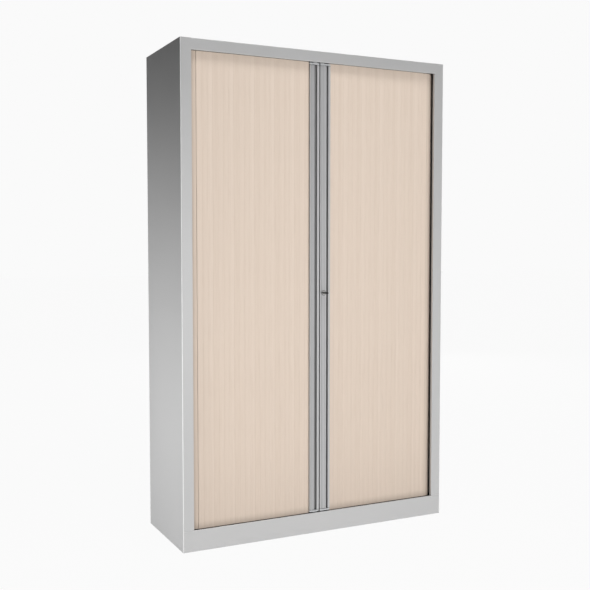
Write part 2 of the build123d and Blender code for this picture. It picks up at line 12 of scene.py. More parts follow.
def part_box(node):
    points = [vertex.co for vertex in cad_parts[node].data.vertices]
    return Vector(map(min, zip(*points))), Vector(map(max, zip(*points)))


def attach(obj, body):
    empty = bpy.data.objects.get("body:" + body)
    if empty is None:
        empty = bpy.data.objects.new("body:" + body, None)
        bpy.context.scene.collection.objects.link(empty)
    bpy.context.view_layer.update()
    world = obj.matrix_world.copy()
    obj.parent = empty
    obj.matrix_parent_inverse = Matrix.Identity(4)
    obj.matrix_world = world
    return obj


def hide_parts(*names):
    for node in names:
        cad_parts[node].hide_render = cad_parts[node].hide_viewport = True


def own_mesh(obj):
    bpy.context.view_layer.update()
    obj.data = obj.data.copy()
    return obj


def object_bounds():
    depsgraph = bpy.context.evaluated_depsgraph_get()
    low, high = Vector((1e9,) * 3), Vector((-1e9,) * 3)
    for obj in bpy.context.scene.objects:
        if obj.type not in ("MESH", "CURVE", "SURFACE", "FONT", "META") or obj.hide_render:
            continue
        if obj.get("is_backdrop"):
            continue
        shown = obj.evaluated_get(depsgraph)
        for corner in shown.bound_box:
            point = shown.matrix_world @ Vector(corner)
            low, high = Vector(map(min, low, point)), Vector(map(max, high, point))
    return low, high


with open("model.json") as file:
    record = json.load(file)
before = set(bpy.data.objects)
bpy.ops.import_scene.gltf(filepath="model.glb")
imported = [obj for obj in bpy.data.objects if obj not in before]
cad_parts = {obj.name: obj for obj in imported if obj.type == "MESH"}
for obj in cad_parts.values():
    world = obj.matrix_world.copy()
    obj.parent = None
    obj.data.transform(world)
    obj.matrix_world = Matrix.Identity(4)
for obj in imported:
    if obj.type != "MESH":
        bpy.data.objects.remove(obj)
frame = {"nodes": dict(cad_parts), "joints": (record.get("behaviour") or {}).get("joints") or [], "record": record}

bl_info = {
    "name": "Tambour cupboard",
    "version": (1, 0, 0),
    "blender": (4, 5, 0),
    "location": "View3D > Sidebar > Cupboard",
    "description": "Curtains, lock, key, feet, finishes and studio of a tall steel tambour cupboard",
    "category": "Object",
}

MM = 0.001
TOUCH = 1e-6  # places nearer to each other than this count as one
SIDES = {"left": -1, "right": 1}
SMOOTH_ANGLE = radians(35)  # faces that meet at less are shaded as one
SHARP_ANGLE = radians(50)  # faces that meet at more have an edge to round

# curtains
PAIR = 2  # slats in each node across the front
SLAT_MIDDLE = 4.0 * MM  # from a slat's face back to the middle of its track
FOIL_SLATS = 4  # slats after which the wood print starts again
FOLD_INSET = 1.5 * MM  # from the cupboard's side in to the plane that an open curtain gathers at

# leads
FLUTES = 3
FIRST_FLUTE_SHADE = 2.4 * MM  # half the width of the band of painted shade along a flute
FLUTE_SHADE = 1.3 * MM

# lock and key
RUNNING_GAP = 0.05 * MM  # round the cylinder in its ring and the blade in its keyway
CONTACT_GAP = 0.02 * MM  # between the key's neck and the lock's face
PLUG_ROUND = 0.25 * MM
BOW_ROUND = 0.22 * MM
NECK_ROUND = 0.6 * MM
BLADE_ROUND = 0.3 * MM
CORNER_STEPS = 8
HALF_NECK = 8.0 * MM
NECK_OVERLAP = 1.5 * MM  # how far the key's neck runs into its bow
RING_WAVES = 30000.0  # radians of the turned rings in each metre of radius

# feet
HALF_THREAD = 0.75 * MM  # half the pitch of a stud's thread
NUT_FLATS = 17.0 * MM  # across opposite flats
NUT_PLAY = 0.1 * MM
NUT_ROUND = 0.5 * MM

# studio
FLOOR_REACH = 30.0  # from the floor's middle to its sides
FLOOR_DROP = 0.5 * MM  # how far the floor lies under the feet
FLOOR_MATT = (0.85, 0.85, 0.85)
FLOOR_GLOW = 1.015
GLOW_SHARE = 0.98  # the rest of a seen floor is matt, and takes faint shadows
AMBIENT = 0.08
DARK_CEILING = 0.04
HORIZON = (-0.02, 0.24)  # heights between which the mirrored room darkens
LAMPS = (
    # name, place, target, width, height, watts, spread, whether it shows in reflections
    ("top light", (0.2, -1.5, 4.4), (0.0, 0.0, 1.0), 2.4, 1.0, 46.0, pi, True),
    ("key light", (0.0, -4.6, 1.15), (0.0, 0.0, 0.95), 4.4, 1.8, 77.0, radians(120), False),
    ("back light", (3.2, 5.0, 2.2), (0.2, 0.0, 1.0), 3.0, 3.0, 140.0, pi, False),
    ("low side light", (-1.9, -0.25, 0.62), (-0.6, -0.1, 0.5), 0.8, 0.6, 2.9, radians(80), False),
)
CAMERA_PLACE = (-1.7274, -3.475, 1.1998)
CAMERA_TURN = (pi / 2 - 0.0562, 0.0, -0.4575)
CAMERA_LENS = 54.93
CAMERA_SENSOR = 36.0
CAMERA_REACH = 100.0


# ---- places read from the frame ------------------------------------------------------------
def lead_side_edge(node, side):
    """X of a node's edge that lies nearer the middle of the cupboard."""
    low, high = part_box(node)
    return low.x if side > 0 else high.x


def slat_pitch(side_name):
    """Distance from slat to slat, from two neighbouring pairs."""
    side = SIDES[side_name]
    first = lead_side_edge(f"slats_{side_name}_01", side)
    second = lead_side_edge(f"slats_{side_name}_02", side)
    return abs(second - first) / PAIR


def curtain_nodes(side_name):
    """Names of a curtain's pairs of slats across the front, and of its slats on the bend."""
    pairs = [name for name in frame["nodes"] if name.startswith(f"slats_{side_name}_")]
    corners = [name for name in frame["nodes"] if name.startswith(f"corner_slat_{side_name}_")]
    return pairs, corners


def lock_centre():
    """Middle of the lock's ring."""
    low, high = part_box("lock_housing")
    return (low + high) / 2


def foot_places():
    """Floor points of the screw feet."""
    return [Vector(mount["pos_m"]) for mount in frame["record"]["mounts"] if mount["name"].startswith("foot_")]


def groove_start(side_name):
    """X at which a lead's finger groove starts."""
    openings = frame["record"]["physics"]["openings"]
    found = next(opening for opening in openings if opening["name"] == f"{side_name}_finger_groove")
    return found["box_m"][0][0]


def lead_flutes():
    """X of the flutes in each lead's face, and half the width of the band of painted shade along each."""
    flutes = []
    for side_name in SIDES:
        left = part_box(f"lead_{side_name}")[0].x
        step = (groove_start(side_name) - left) / (FLUTES + 1)
        bands = [FIRST_FLUTE_SHADE] + [FLUTE_SHADE] * (FLUTES - 1)
        flutes += [(left + step * number, band) for number, band in enumerate(bands, 1)]
    return flutes


def joint(name):
    """A joint of the frame by its name."""
    return next(item for item in frame["joints"] if item["name"] == name)


# ---- sizes and colours that a user can change ----------------------------------------------
def length_property(name, description, default):
    """A length in metres."""
    return FloatProperty(
        name=name, description=description, default=default, min=0.0, precision=4, unit="LENGTH"
    )


def colour_property(name, description, default):
    """A colour without alpha."""
    return FloatVectorProperty(
        name=name, description=description, default=default, min=0.0, max=1.0, size=3, subtype="COLOR"
    )


class CupboardSizes(bpy.types.PropertyGroup):
    """Sizes of the pieces that are modelled here."""

    slat_edge: length_property("Slat edge radius", "Rounding of a slat's two front edges", 0.3 * MM)
    slat_joint: length_property("Slat joint", "Gap between two neighbouring slats' faces", 0.1 * MM)
    jaw: length_property("Jaw length", "Reach of a slat's jaw beyond its pivot", 2.4 * MM)
    bead: length_property("Bead radius", "Radius of a slat's hinge bead", 2.0 * MM)
    pivot_depth: length_property("Pivot depth", "Depth of the hinge bead behind a slat's face", 4.6 * MM)
    back_relief: length_property("Back relief", "Chamfer on a slat's back that lets it turn", 2.0 * MM)
    bend_centre: length_property("Bend centre", "How far a bend's centre lies behind the track", 46.0 * MM)
    ring_bevel: length_property("Ring bevel", "Bevel of the lock ring's front edge", 0.6 * MM)
    sleeve_radius: length_property("Sleeve radius", "Radius of the lock's sleeve", 9.0 * MM)
    flange: length_property("Ring flange", "Thickness of the lock ring", 2.0 * MM)
    bow_corner: length_property("Bow corner", "Corner radius of the key's bow", 7.0 * MM)
    bow_rim: length_property("Bow rim", "Width of the raised rim round the key's bow", 1.6 * MM)
    bow_recess: length_property("Bow recess", "Depth of the bow's recessed face", 0.6 * MM)
    bow_hole: length_property("Ring hole", "Radius of the hole for a key ring", 2.5 * MM)
    neck: length_property("Key neck", "Length of the key's neck between the bow and the lock", 4.0 * MM)
    blade_width: length_property("Blade width", "Width of the key's blade", 8.0 * MM)
    blade_height: length_property("Blade height", "Thickness of the key's blade", 2.2 * MM)
    blade_length: length_property("Blade length", "Depth of the keyway", 8.0 * MM)
    pad_radius: length_property("Pad radius", "Radius of a foot's pad", 20.0 * MM)
    pad_height: length_property("Pad height", "Height of a foot's pad", 8.0 * MM)
    stud_radius: length_property("Stud radius", "Radius of a foot's stud", 5.0 * MM)
    round_steps: IntProperty(
        name="Round steps", description="Steps in a turned piece's full turn", default=48, min=12
    )
    fine_steps: IntProperty(
        name="Small round steps", description="Steps in a small round's full turn", default=24, min=12
    )


class CupboardColours(bpy.types.PropertyGroup):
    """Colours of the finishes."""

    carcass: colour_property("Carcass", "Powder coat of the outer sheets", (0.555, 0.555, 0.555))
    inside: colour_property("Inside", "Powder coat of the shelves and liners", (0.48, 0.48, 0.48))
    wood: colour_property("Wood", "Ground of the wood decor", (0.70, 0.59, 0.50))
    grain: colour_property("Grain", "Darker grain of the wood decor", (0.61, 0.50, 0.41))
    aluminium: colour_property("Aluminium", "Anodised leading profiles", (0.55, 0.55, 0.555))
    shoe: colour_property("Shoes", "Moulded end shoes of the leads", (0.55, 0.56, 0.57))
    black: colour_property("Black plastic", "Tracks, feet and key", (0.008, 0.008, 0.009))
    zinc: colour_property("Zinc", "Zinc plated small parts", (0.56, 0.57, 0.60))
    nickel: colour_property("Nickel", "Lock ring and cylinder", (0.50, 0.495, 0.485))
    floor: colour_property("Floor", "Studio floor and background", (0.956, 0.956, 0.956))


def settings():
    """The scene's sizes and colours."""
    return bpy.context.scene.cupboard_sizes, bpy.context.scene.cupboard_colours


# ---- shader maths --------------------------------------------------------------------------
class Value:
    """A node's output socket, so that shader maths reads as plain arithmetic."""

    def __init__(self, finish, socket):
        self.finish = finish
        self.socket = socket

    def __add__(self, other):
        return self.finish.maths("ADD", self, other)

    def __mul__(self, other):
        return self.finish.maths("MULTIPLY", self, other)

    def __sub__(self, other):
        return self.finish.maths("SUBTRACT", self, other)

    def __rsub__(self, other):
        return self.finish.maths("SUBTRACT", other, self)

    def __truediv__(self, other):
        return self.finish.maths("DIVIDE", self, other)

    def __lt__(self, other):
        return self.finish.maths("LESS_THAN", self, other)

    def __gt__(self, other):
        return self.finish.maths("GREATER_THAN", self, other)


class Finish:
    """A node material, or the world, under construction."""

    def __init__(self, name, owner=None):
        self.owner = owner or bpy.data.materials.new(name)
        self.owner.use_nodes = True
        self.tree = self.owner.node_tree
        self.tree.nodes.clear()

    def node(self, kind, options=None, inputs=None, out=0):
        """Add a node, give it its options and then its sockets' values or links, and return one output."""
        node = self.tree.nodes.new(kind)
        for name, option in (options or {}).items():
            setattr(node, name, option)
        for key, value in (inputs or {}).items():
            if isinstance(value, Value):
                self.tree.links.new(value.socket, node.inputs[key])
            else:
                node.inputs[key].default_value = value
        return Value(self, node.outputs[out]) if len(node.outputs) else None

    def maths(self, operation, *values):
        """A Math node on one or two values."""
        return self.node("ShaderNodeMath", {"operation": operation}, dict(enumerate(values)))

    def place(self):
        """Object coordinates, in metres."""
        return self.node("ShaderNodeTexCoord", out="Object")

    def map(self, layer):
        """The coordinates of one of the piece's own UV maps."""
        return self.node("ShaderNodeUVMap", {"uv_map": layer})

    def rays(self, *kinds):
        """For each kind of ray, 1 on such a ray and 0 on any other."""
        outputs = self.tree.nodes.new("ShaderNodeLightPath").outputs
        return [Value(self, outputs[kind]) for kind in kinds]

    def parts(self, vector):
        """The three numbers of a vector."""
        split = self.node("ShaderNodeSeparateXYZ", None, {0: vector})
        return [Value(self, output) for output in split.socket.node.outputs]

    def stretched(self, vector, scale):
        """A vector multiplied by a factor for each direction."""
        return self.node("ShaderNodeVectorMath", {"operation": "MULTIPLY"}, {0: vector, 1: scale})

    def noise(self, vector, scale, detail, roughness=0.5):
        """Soft noise from 0 to 1."""
        inputs = {"Vector": vector, "Scale": scale, "Detail": detail, "Roughness": roughness}
        return self.node("ShaderNodeTexNoise", None, inputs)

    def between(self, factor, low, high):
        """The factor's range from 0 to 1 turned into another range."""
        return factor * (high - low) + low

    def step(self, value, start, end):
        """A smooth step from 0 at start to 1 at end."""
        inputs = {"Value": value, "From Min": start, "From Max": end}
        return self.node("ShaderNodeMapRange", {"interpolation_type": "SMOOTHSTEP"}, inputs)

    def mix(self, factor, first, second):
        """A colour between two colours."""
        first = first if isinstance(first, Value) else (*first, 1.0)
        second = second if isinstance(second, Value) else (*second, 1.0)
        return self.node("ShaderNodeMix", {"data_type": "RGBA"}, {0: factor, 6: first, 7: second}, out=2)

    def bump(self, height, strength, distance):
        """A normal from a height between 0 and 1, over a distance in metres."""
        inputs = {"Strength": strength, "Distance": distance, "Height": height}
        return self.node("ShaderNodeBump", None, inputs)

    def surface(self, inputs):
        """Close the material with a Principled shader."""
        shader = self.node("ShaderNodeBsdfPrincipled", None, inputs)
        self.node("ShaderNodeOutputMaterial", None, {"Surface": shader})
        return self.owner


def tinted(colour, factor):
    """A colour made lighter or darker."""
    return tuple(min(1.0, channel * factor) for channel in colour)


# ---- finishes ------------------------------------------------------------------------------
def powder_coat(name, colour, painted_bend_highlight=False):
    """Satin metallic powder coat: fine orange peel, faint clouds of tone and gloss, and, on the outer sheets, a
    painted highlight along the bends and the plinth's top edge.
    """
    finish = Finish(name)
    place = finish.place()
    peel = finish.noise(place, scale=900.0, detail=2.0)
    cloud = finish.noise(place, scale=3.5, detail=3.0)
    speck = finish.noise(place, scale=2600.0, detail=1.0)
    tone = finish.mix(cloud * 0.6 + speck * 0.4, tinted(colour, 0.97), tinted(colour, 1.03))
    # Painted highlight: paler bands along the outer upright bends and the plinth's top edge, where the gloss would
    # catch the lamps.
    if painted_bend_highlight:
        x, y, z = finish.parts(place)
        side_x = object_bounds()[1].x
        plinth_low, plinth_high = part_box("plinth")
        front_y, sill = plinth_low.y, plinth_high.z
        start, full = 2.6 * MM, 1.2 * MM
        outer = finish.step(finish.maths("ABSOLUTE", x), side_x - start, side_x - full)
        plinth_edge_highlight = finish.step(z, sill - 3.0 * MM, sill - 1.0 * MM) * (z < sill + 0.1 * MM) * 0.35
        front = finish.step(y, front_y + start, front_y + full)
        tone = finish.mix(finish.maths("MAXIMUM", outer, plinth_edge_highlight) * front, tone, tinted(colour, 1.7))
    return finish.surface({
        "Base Color": tone,
        "Metallic": 0.42,
        "Roughness": finish.between(cloud, 0.30, 0.38),
        "Specular IOR Level": 0.28,
        "Normal": finish.bump(peel, strength=0.12, distance=0.4 * MM),
    })


def wood_decor(name, ground, grain, pitch, bend):
    """Pale wood foil on plastic slats, each slat its own tint, with painted shade on the joint where the curtain
    turns, on the slats past the bend and towards the foot.
    """
    finish = Finish(name)
    along, height, _ = finish.parts(finish.map("decor"))
    printed = finish.maths("MODULO", along, FOIL_SLATS * pitch)
    slat_number = finish.maths("FLOOR", printed / pitch)
    own_seed, own_slice = slat_number + 0.37, slat_number * 0.173
    shade = finish.node("ShaderNodeTexWhiteNoise", {"noise_dimensions": "1D"}, {"W": own_seed})
    place = finish.node("ShaderNodeCombineXYZ", None, {0: printed, 1: height, 2: own_slice})
    fine = finish.noise(finish.stretched(place, (210.0, 7.0, 10.0)), scale=1.0, detail=3.0, roughness=0.55)
    broad = finish.noise(finish.stretched(place, (70.0, 0.35, 10.0)), scale=1.0, detail=2.0)
    pores = finish.noise(finish.stretched(place, (1500.0, 60.0, 10.0)), scale=1.0, detail=1.0)
    streak = finish.step(fine * 0.45 + broad * 0.55, 0.42, 0.66)
    pore = finish.step(pores, 0.60, 0.74)
    tone = finish.mix(streak * 0.36 + pore * 0.18, ground, grain)
    tone = finish.mix(shade * 0.14, tone, grain)

    # Painted shade: a dark tone mixed in where shade falls, not a colour that the foil has.
    painted_shade_tone = tinted(grain, 0.45)
    seam = finish.maths("ABSOLUTE", along - bend)
    # painted shade along the joint where the curtain starts to turn
    tone = finish.mix(finish.step(seam, 2.2 * MM, 0.6 * MM) * 0.18, tone, painted_shade_tone)
    # painted shade of the stile on the slats that turn in behind it
    tone = finish.mix(finish.step(along, bend - 2.0 * MM, bend + 26.0 * MM) * 0.48, tone, painted_shade_tone)
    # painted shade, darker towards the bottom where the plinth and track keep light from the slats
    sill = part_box("plinth")[1].z
    low = finish.step(height, sill + 320.0 * MM, sill)
    painted_foot_shade = finish.step(height, sill + 32.0 * MM, sill)
    tone = finish.mix(low * 0.08 + painted_foot_shade * 0.22, tone, painted_shade_tone)
    return finish.surface({
        "Base Color": tone,
        "Roughness": finish.between(streak, 0.48, 0.60),
        "Specular IOR Level": 0.35,
        "Normal": finish.bump(fine * 0.6 + pore * 0.4, strength=0.10, distance=0.3 * MM),
    })


def anodised(name, colour):
    """Satin anodised aluminium with extruding lines, and painted shade along the flutes, on the groove walls
    behind the faces and near both ends.
    """
    finish = Finish(name)
    place = finish.place()
    x, y, z = finish.parts(place)
    low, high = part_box("lead_left")
    lines = finish.noise(finish.stretched(place, (2400.0, 2400.0, 2.0)), scale=1.0, detail=2.0)
    bands = finish.noise(finish.stretched(place, (160.0, 160.0, 0.6)), scale=1.0, detail=1.0)
    tone = finish.mix(lines * 0.5 + bands * 0.5, tinted(colour, 0.93), tinted(colour, 1.07))
    # painted shade: a dark band along each flute
    for flute, half_width in lead_flutes():
        near = finish.maths("ABSOLUTE", x - flute)
        tone = finish.mix(finish.step(near, half_width, half_width / 2) * 0.42, tone, tinted(colour, 0.3))
    # painted shade on the groove walls behind the lead's face
    groove_wall_shade = finish.step(y, low.y + 1.3 * MM, low.y + 4.0 * MM)
    tone = finish.mix(groove_wall_shade * 0.5, tone, tinted(colour, 0.2))
    # painted shade near both ends of the lead
    for end, inwards in ((low.z, 1), (high.z, -1)):
        end_shade = finish.step(z, end + inwards * 5.0 * MM, end + inwards * 2.0 * MM)
        tone = finish.mix(end_shade * 0.45, tone, tinted(colour, 0.2))
    return finish.surface({
        "Base Color": tone,
        "Metallic": 0.5,
        "Roughness": finish.between(lines, 0.42, 0.52),
        "Specular IOR Level": 0.3,
        "Normal": finish.bump(lines, strength=0.08, distance=0.2 * MM),
    })


def moulded(name, colour, roughness):
    """Moulded plastic with a fine spark-eroded grain."""
    finish = Finish(name)
    place = finish.place()
    texture = finish.noise(place, scale=1800.0, detail=2.0)
    cloud = finish.noise(place, scale=40.0, detail=2.0)
    return finish.surface({
        "Base Color": finish.mix(cloud, tinted(colour, 0.92), tinted(colour, 1.08)),
        "Roughness": finish.between(texture, roughness - 0.06, roughness + 0.06),
        "Specular IOR Level": 0.25,
        "Normal": finish.bump(texture, strength=0.15, distance=0.3 * MM),
    })


def zinc_plate(name, colour):
    """Bright zinc with a faint spangle."""
    finish = Finish(name)
    place = finish.place()
    spangle = finish.node("ShaderNodeTexVoronoi", None, {"Vector": place, "Scale": 700.0}, out="Color")
    shade = finish.parts(spangle)[0]
    smear = finish.noise(place, scale=120.0, detail=3.0)
    return finish.surface({
        "Base Color": finish.mix(shade * 0.4 + smear * 0.6, tinted(colour, 0.86), tinted(colour, 1.1)),
        "Metallic": 1.0,
        "Roughness": finish.between(smear, 0.24, 0.40),
        "Normal": finish.bump(smear, strength=0.06, distance=0.3 * MM),
    })


def polished_nickel(name, colour, centre):
    """Nickel plate with very fine turned rings round the lock's axis, and painted shade on the rim outside the
    ring's flat face.
    """
    finish = Finish(name)
    place = finish.place()
    x, _, z = finish.parts(place)
    from_x, from_z = x - centre.x, z - centre.z
    radius = finish.maths("SQRT", from_x * from_x + from_z * from_z)
    rings = finish.maths("SINE", radius * RING_WAVES) * 0.5 + 0.5
    smear = finish.noise(place, scale=260.0, detail=2.0)
    tone = finish.mix(smear, tinted(colour, 0.9), tinted(colour, 1.06))
    # painted shade: the bevelled rim outside the flat face is mixed almost to black
    rim_shade = finish.step(radius, 9.0 * MM, 9.6 * MM)
    tone = finish.mix(rim_shade * 0.85, tone, tinted(colour, 0.1))
    return finish.surface({
        "Base Color": tone,
        "Metallic": 0.6,
        "Roughness": finish.between(smear, 0.34, 0.46),
        "Normal": finish.bump(rings, strength=0.03, distance=0.1 * MM),
    })


def threaded_stud(name, colour):
    """Zinc plated stud with a rolled thread, its troughs painted darker as shade."""
    finish = Finish(name)
    place = finish.place()
    height = finish.parts(place)[2]
    thread = finish.maths("PINGPONG", height, HALF_THREAD) / HALF_THREAD
    smear = finish.noise(place, scale=300.0, detail=2.0)
    return finish.surface({
        # painted shade: the thread's troughs are darker than its crests
        "Base Color": finish.mix(smear * 0.5 + thread * 0.5, tinted(colour, 0.55), tinted(colour, 1.05)),
        "Metallic": 1.0,
        "Roughness": finish.between(smear, 0.28, 0.42),
        "Normal": finish.bump(thread, strength=0.9, distance=0.8 * MM),
    })


# ---- mesh helpers --------------------------------------------------------------------------
def piece(name, bm, body, replaced, material):
    """Make an object from a finished bmesh, smooth its rounds, and let it ride on a body."""
    bm.normal_update()
    mesh = bpy.data.meshes.new(name)
    bm.to_mesh(mesh)
    bm.free()
    mesh.shade_smooth()
    mesh.set_sharp_from_angle(angle=SMOOTH_ANGLE)
    thing = bpy.data.objects.new(name, mesh)
    bpy.context.scene.collection.objects.link(thing)
    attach(thing, body)
    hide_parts(*replaced)
    thing.data.materials.append(material)
    return thing


def join(target, source):
    """Move all of one bmesh into another."""
    part = bpy.data.meshes.new("part")
    source.to_mesh(part)
    source.free()
    target.from_mesh(part)
    bpy.data.meshes.remove(part)


def outline(bm, points):
    """A closed loop of edges through a few points."""
    corners = [bm.verts.new(point) for point in points]
    return [bm.edges.new(pair) for pair in zip(corners, corners[1:] + corners[:1])]


def rectangle(left, right, front, back, level):
    """Corners of a level rectangle."""
    return [(left, front, level), (right, front, level), (right, back, level), (left, back, level)]


def fill(bm, edges):
    """A face in a closed loop of edges."""
    return bmesh.ops.contextual_create(bm, geom=edges)["faces"][0]


def verts_in(geom):
    """The vertices among some geometry."""
    return [item for item in geom if isinstance(item, bmesh.types.BMVert)]


def raise_faces(bm, faces, height):
    """Extrude level faces upwards into a closed solid."""
    bmesh.ops.recalc_face_normals(bm, faces=faces)
    grown = bmesh.ops.extrude_face_region(bm, geom=faces, use_keep_orig=True)["geom"]
    bmesh.ops.translate(bm, verts=verts_in(grown), vec=(0, 0, height))


def round_edges(bm, edges, radius, steps=2):
    """Round some edges."""
    bmesh.ops.bevel(
        bm, geom=edges, offset=radius, offset_type="OFFSET", segments=steps, profile=0.5,
        affect="EDGES", material=-1,
    )


def sharp_edges(bm):
    """Edges whose two faces meet sharply."""
    bm.normal_update()
    return [edge for edge in bm.edges if len(edge.link_faces) == 2 and edge.calc_face_angle(0.0) > SHARP_ANGLE]


def turned(bm, profile, axis, centre, steps):
    """Spin a closed profile, drawn as points in a plane through the axis, a full turn."""
    edges = outline(bm, profile)
    verts = [edge.verts[0] for edge in edges]
    bmesh.ops.spin(
        bm, geom=[*verts, *edges], cent=centre, axis=axis, angle=2 * pi, steps=steps, use_merge=True
    )


def close_up(bm):
    """Merge what meets and turn every face outwards."""
    bmesh.ops.remove_doubles(bm, verts=bm.verts, dist=0.01 * MM)
    bmesh.ops.recalc_face_normals(bm, faces=bm.faces)


def rounded_block(low, high, radius, steps=2):
    """A block between two corners with all its edges rounded."""
    block = bmesh.new()
    base = fill(block, outline(block, rectangle(low[0], high[0], low[1], high[1], low[2])))
    raise_faces(block, [base], high[2] - low[2])
    close_up(block)
    round_edges(block, sharp_edges(block), radius, steps)
    return block


class MakerOperator:
    """What every operator of the cupboard shares."""

    bl_options = {"REGISTER", "UNDO"}


# ---- curtains ------------------------------------------------------------------------------
def slat_mesh(sizes, pitch, start, low, high):
    """One upright slat with its decor map: its face is on y = 0, and start is its place along the curtain."""
    left = start + sizes.jaw + sizes.slat_joint / 2
    right = start + pitch + sizes.jaw - sizes.slat_joint / 2
    depth = high.y - low.y
    relief = sizes.back_relief
    slat = bmesh.new()
    base = fill(slat, outline(slat, [
        (left, 0, low.z),
        (right, 0, low.z),
        (right, depth - relief, low.z),
        (right - relief, depth, low.z),
        (left + relief, depth, low.z),
        (left, depth - relief, low.z),
    ]))
    raise_faces(slat, [base], high.z - low.z)
    front_edges = [
        edge for edge in slat.edges
        if edge.calc_length() > pitch and all(abs(vert.co.y) < TOUCH for vert in edge.verts)
    ]
    round_edges(slat, front_edges, sizes.slat_edge, steps=3)
    layer = slat.loops.layers.uv.new("decor")
    for face in slat.faces:
        for loop in face.loops:
            loop[layer].uv = (loop.vert.co.x - sizes.jaw, loop.vert.co.z)
    return slat


def slat_places(side_name, sizes, pitch):
    """For each slat of a curtain, the matrix that takes it from the flat curtain to its place."""
    side = SIDES[side_name]
    pairs, corners = curtain_nodes(side_name)
    straight = PAIR * len(pairs)
    first = lead_side_edge(f"slats_{side_name}_01", side) * side + sizes.bead
    face_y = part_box(f"slats_{side_name}_01")[0].y
    flip = Matrix.Diagonal((side, 1, 1, 1))
    places = [flip @ Matrix.Translation((first, face_y, 0))] * straight

    radius = SLAT_MIDDLE + sizes.bend_centre - sizes.pivot_depth
    turn = 2 * asin(pitch / 2 / radius)
    centre = Matrix.Translation((first + straight * pitch, face_y + SLAT_MIDDLE + sizes.bend_centre, 0))
    out_to_bend = Matrix.Translation((0, -radius, 0))
    own_turn = Matrix.Rotation(turn / 2, 4, "Z")
    for number in range(len(corners)):
        to_pivot = Matrix.Translation((-(straight + number) * pitch, -sizes.pivot_depth, 0))
        round_bend = Matrix.Rotation(number * turn, 4, "Z")
        places.append(flip @ centre @ round_bend @ out_to_bend @ own_turn @ to_pivot)
    return places


class CUPBOARD_OT_curtains(MakerOperator, bpy.types.Operator):
    """Model both curtains of upright slats, flat across the front and turning in behind the stiles"""

    bl_idname = "cupboard.curtains"
    bl_label = "Curtains"

    def execute(self, context):
        sizes, colours = settings()
        for side_name, side in SIDES.items():
            pitch = slat_pitch(side_name)
            low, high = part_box(f"slats_{side_name}_01")
            curtain = bmesh.new()
            for number, place in enumerate(slat_places(side_name, sizes, pitch)):
                slat = slat_mesh(sizes, pitch, number * pitch, low, high)
                bmesh.ops.transform(slat, matrix=place, verts=slat.verts)
                join(curtain, slat)
            bmesh.ops.recalc_face_normals(curtain, faces=curtain.faces)
            pairs, corners = curtain_nodes(side_name)
            bend = pitch * PAIR * len(pairs)
            decor = wood_decor(f"wood decor {side_name}", colours.wood, colours.grain, pitch, bend)
            thing = piece(f"curtain_{side_name}", curtain, "carcass", pairs + corners, decor)
            slide = joint(f"{side_name}_shutter_slide")
            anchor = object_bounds()[1].x - FOLD_INSET
            run = anchor - max(abs(corner.x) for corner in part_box(f"lead_{side_name}"))
            keep = (run - slide["range_m"][1]) / run
            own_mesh(thing)
        return {"FINISHED"}


# ---- lock ----------------------------------------------------------------------------------
def ring_mesh(sizes, centre):
    """The lock's turned ring with its sleeve."""
    low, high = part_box("lock_housing")
    plug_low, plug_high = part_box("lock_cylinder")
    inner = (plug_high.x - plug_low.x) / 2 + RUNNING_GAP
    radius = (high.x - low.x) / 2
    bevel = sizes.ring_bevel
    profile = [
        (inner, low.y + bevel / 2),
        (inner + bevel / 2, low.y),
        (radius - 2 * bevel, low.y),
        (radius - bevel / 2, low.y + bevel / 2),
        (radius, low.y + 1.5 * bevel),
        (radius, low.y + sizes.flange),
        (sizes.sleeve_radius, low.y + sizes.flange),
        (sizes.sleeve_radius, high.y),
        (inner, high.y),
    ]
    points = [(centre.x + out, y, centre.z) for out, y in profile]
    ring = bmesh.new()
    turned(ring, points, (0, 1, 0), (centre.x, 0, centre.z), sizes.round_steps)
    close_up(ring)
    return ring


def plug_mesh(sizes, centre):
    """The lock's cylinder, with a keyway in its front."""
    low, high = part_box("lock_cylinder")
    half_width = sizes.blade_width / 2 + RUNNING_GAP
    half_height = sizes.blade_height / 2 + RUNNING_GAP
    plug = bmesh.new()
    rim = bmesh.ops.create_circle(plug, segments=sizes.round_steps, radius=(high.x - low.x) / 2)["verts"]
    bmesh.ops.rotate(plug, verts=rim, cent=(0, 0, 0), matrix=Matrix.Rotation(pi / 2, 3, "X"))
    bmesh.ops.translate(plug, verts=rim, vec=(centre.x, low.y, centre.z))
    rim_edges = list(plug.edges)
    slot_edges = outline(plug, [
        (centre.x - half_width, low.y, centre.z - half_height),
        (centre.x + half_width, low.y, centre.z - half_height),
        (centre.x + half_width, low.y, centre.z + half_height),
        (centre.x - half_width, low.y, centre.z + half_height),
    ])
    bmesh.ops.bridge_loops(plug, edges=rim_edges + slot_edges)
    for edges, depth in ((rim_edges, high.y - low.y), (slot_edges, sizes.blade_length)):
        wall = bmesh.ops.extrude_edge_only(plug, edges=edges)["geom"]
        bmesh.ops.translate(plug, verts=verts_in(wall), vec=(0, depth, 0))
        fill(plug, [
            item for item in wall
            if isinstance(item, bmesh.types.BMEdge)
            and all(abs(vert.co.y - low.y - depth) < TOUCH for vert in item.verts)
        ])
    close_up(plug)
    front_edges = [edge for edge in sharp_edges(plug) if all(vert.co.y < low.y + TOUCH for vert in edge.verts)]
    round_edges(plug, front_edges, PLUG_ROUND)
    return plug


class CUPBOARD_OT_lock(MakerOperator, bpy.types.Operator):
    """Turn the lock's ring and make its cylinder with the keyway"""

    bl_idname = "cupboard.lock"
    bl_label = "Lock"

    def execute(self, context):
        sizes, colours = settings()
        centre = lock_centre()
        nickel = polished_nickel("polished nickel", colours.nickel, centre)
        ring, plug = ring_mesh(sizes, centre), plug_mesh(sizes, centre)
        piece("lock_ring", ring, "right_shutter", ["lock_housing"], nickel)
        piece("lock_plug", plug, "lock", ["lock_cylinder"], nickel)
        return {"FINISHED"}


